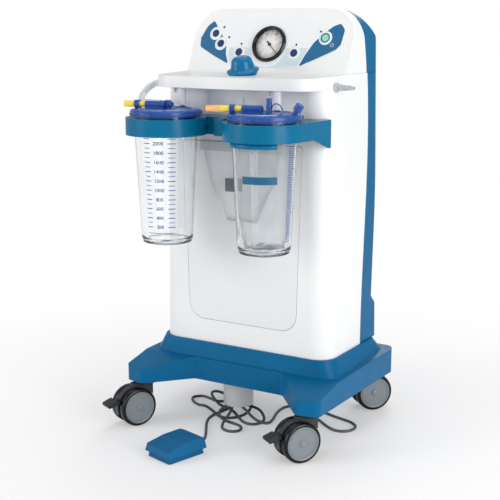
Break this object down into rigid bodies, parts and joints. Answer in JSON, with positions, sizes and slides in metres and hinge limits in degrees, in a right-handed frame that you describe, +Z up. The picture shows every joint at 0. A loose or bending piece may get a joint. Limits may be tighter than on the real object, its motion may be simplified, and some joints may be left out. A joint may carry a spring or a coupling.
{
  "type": "vacuum aspirator",
  "caption": "Trolley vacuum aspirator: slim cabinet on twin-wheel casters, sloping control face with gauge, two collection jars in a carrier, foot pedal on a cord.",
  "frame": {"origin": "middle of the footprint of the cabinet, its jars and its pedal, on the floor", "axes": "+X to the right seen from the front, +Y to the back, +Z up"},
  "size_m": [0.4794, 0.547, 0.852],
  "materials": {
    "black_plastic": "satin plastic",
    "blue_base": "satin moulded plastic",
    "board_green": "board",
    "button_blue": "satin film",
    "button_green": "satin film",
    "button_ring": "satin plastic",
    "caster_grey": "satin plastic",
    "clear_film": "clear film",
    "clear_jar": "clear polycarbonate",
    "cord_grey": "matte sheath",
    "disc_grey": "satin plastic",
    "gauge_black": "glossy plastic",
    "gauge_glass": "clear glass",
    "grey_plastic": "matte plastic",
    "hose_clear": "clear silicone",
    "led_dark": "dark lens",
    "lid_blue": "translucent moulded plastic",
    "needle_black": "matte paint",
    "overlay_pale": "printed polyester film",
    "port_yellow": "glossy moulded plastic",
    "pump_metal": "cast",
    "rubber_black": "matte",
    "steel": "zinc plated",
    "teal_carrier": "satin moulded plastic",
    "tyre_black": "matte rubber",
    "white_plastic": "satin plastic",
    "white_shell": "satin moulded plastic"
  },
  "bodies": {
    "root": {"front_shell": "white_shell", "rear_cover": "blue_base", "service_panel": "white_shell", "panel_latch": "grey_plastic", "carrier_bracket": "grey_plastic", "base_moulding": "blue_base", "jar_carrier": "teal_carrier", "left_jar": "clear_jar", "left_lid": "lid_blue", "left_patient_port": "port_yellow", "right_jar": "clear_jar", "right_lid": "lid_blue", "right_patient_port": "port_yellow", "liner_bag": "clear_film", "control_overlay": "overlay_pale", "gauge_case": "gauge_black", "gauge_lens": "gauge_glass", "button_collars": "button_ring", "indicator_lenses": "led_dark", "control_board": "board_green", "regulator_valve": "white_plastic", "head_barbs": "white_plastic", "drop_tubes": "white_plastic", "vacuum_manifold": "white_plastic", "clear_hose": "hose_clear", "pedal_base": "blue_base", "pedal_strain_relief": "cord_grey", "cord_hank": "cord_grey", "cord_front_run": "cord_grey", "cord_rear_run": "cord_grey", "cord_gland": "black_plastic", "pump_mounts": "rubber_black", "vacuum_pump": "pump_metal", "chassis": "steel", "mains_inlet": "black_plastic", "exhaust_cowl": "grey_plastic"},
    "caster_front_left": {"caster_front_left": "caster_grey"},
    "wheels_front_left": {"tyres_front_left": "tyre_black", "wheel_discs_front_left": "disc_grey"},
    "brake_front_left": {"brake_lever_front_left": "black_plastic"},
    "caster_front_right": {"caster_front_right": "caster_grey"},
    "wheels_front_right": {"tyres_front_right": "tyre_black", "wheel_discs_front_right": "disc_grey"},
    "brake_front_right": {"brake_lever_front_right": "black_plastic"},
    "caster_rear_left": {"caster_rear_left": "caster_grey"},
    "wheels_rear_left": {"tyres_rear_left": "tyre_black", "wheel_discs_rear_left": "disc_grey"},
    "caster_rear_right": {"caster_rear_right": "caster_grey"},
    "wheels_rear_right": {"tyres_rear_right": "tyre_black", "wheel_discs_rear_right": "disc_grey"},
    "top_left_button": {"top_left_button": "button_blue"},
    "mid_left_button": {"mid_left_button": "button_blue"},
    "low_left_button": {"low_left_button": "button_blue"},
    "low_right_button": {"low_right_button": "button_blue"},
    "power_button": {"power_button": "button_green"},
    "needle": {"gauge_needle": "needle_black"},
    "regulator_knob": {"regulator_knob": "blue_base"},
    "pedal_cover": {"pedal_cover": "blue_base"},
    "spout_cap": {"spout_cap": "lid_blue"},
    "motor_fan": {"motor_fan": "black_plastic"}
  },
  "joints": [
    {"name": "swivel_front_left", "type": "hinge", "parent": "root", "child": "caster_front_left", "pos_m": [-0.18644, -0.09476, 0.092], "axis": [0, 0, 1], "continuous": true},
    {"name": "roll_front_left", "type": "hinge", "parent": "caster_front_left", "child": "wheels_front_left", "pos_m": [-0.19783, -0.12034, 0.04], "axis": [0.9135, -0.4067, 0], "continuous": true},
    {"name": "brake_front_left", "type": "hinge", "parent": "caster_front_left", "child": "brake_front_left", "pos_m": [-0.21492, -0.15871, 0.055], "axis": [0.9135, -0.4067, 0], "range_deg": [0, 14]},
    {"name": "swivel_front_right", "type": "hinge", "parent": "root", "child": "caster_front_right", "pos_m": [0.20455, -0.09476, 0.092], "axis": [0, 0, 1], "continuous": true},
    {"name": "roll_front_right", "type": "hinge", "parent": "caster_front_right", "child": "wheels_front_right", "pos_m": [0.18931, -0.11824, 0.04], "axis": [0.8387, -0.5446, 0], "continuous": true},
    {"name": "brake_front_right", "type": "hinge", "parent": "caster_front_right", "child": "brake_front_right", "pos_m": [0.16643, -0.15347, 0.055], "axis": [0.8387, -0.5446, 0], "range_deg": [0, 14]},
    {"name": "swivel_rear_left", "type": "hinge", "parent": "root", "child": "caster_rear_left", "pos_m": [-0.14994, 0.20224, 0.092], "axis": [0, 0, 1], "continuous": true},
    {"name": "roll_rear_left", "type": "hinge", "parent": "caster_rear_left", "child": "wheels_rear_left", "pos_m": [-0.16043, 0.2282, 0.04], "axis": [-0.9272, -0.3746, 0], "continuous": true},
    {"name": "swivel_rear_right", "type": "hinge", "parent": "root", "child": "caster_rear_right", "pos_m": [0.16806, 0.20224, 0.092], "axis": [0, 0, 1], "continuous": true},
    {"name": "roll_rear_right", "type": "hinge", "parent": "caster_rear_right", "child": "wheels_rear_right", "pos_m": [0.18679, 0.22305, 0.04], "axis": [-0.7431, 0.6691, 0], "continuous": true},
    {"name": "top_left_press", "type": "slide", "parent": "root", "child": "top_left_button", "axis": [0, 0.9245, -0.3811], "range_m": [0, 0.0012], "stiffness_N_per_m": 250},
    {"name": "mid_left_press", "type": "slide", "parent": "root", "child": "mid_left_button", "axis": [0, 0.9245, -0.3811], "range_m": [0, 0.0012], "stiffness_N_per_m": 250},
    {"name": "low_left_press", "type": "slide", "parent": "root", "child": "low_left_button", "axis": [0, 0.9245, -0.3811], "range_m": [0, 0.0012], "stiffness_N_per_m": 250},
    {"name": "low_right_press", "type": "slide", "parent": "root", "child": "low_right_button", "axis": [0, 0.9245, -0.3811], "range_m": [0, 0.0012], "stiffness_N_per_m": 250},
    {"name": "power_press", "type": "slide", "parent": "root", "child": "power_button", "axis": [0, 0.9245, -0.3811], "range_m": [0, 0.0012], "stiffness_N_per_m": 250},
    {"name": "gauge_sweep", "type": "hinge", "parent": "root", "child": "needle", "pos_m": [0.00906, 0.08391, 0.781], "axis": [0, -0.9245, 0.3811], "range_deg": [0, 265], "stiffness_Nm_per_rad": 0.0001},
    {"name": "regulator_turn", "type": "hinge", "parent": "root", "child": "regulator_knob", "pos_m": [0.00906, -0.01876, 0.73044], "axis": [0, -0.225, 0.9744], "range_deg": [0, 270]},
    {"name": "pedal_rock", "type": "hinge", "parent": "root", "child": "pedal_cover", "pos_m": [-0.01402, -0.18266, 0.013], "axis": [0.9613, -0.2756, 0], "range_deg": [0, 4.5], "stiffness_Nm_per_rad": 6},
    {"name": "cap_pull", "type": "slide", "parent": "root", "child": "spout_cap", "axis": [0.568, 0.0798, 0.8192], "range_m": [0, 0.012]},
    {"name": "fan_spin", "type": "hinge", "parent": "root", "child": "motor_fan", "pos_m": [0.08206, 0.08024, 0.2423], "axis": [1, 0, 0], "continuous": true}
  ]
}
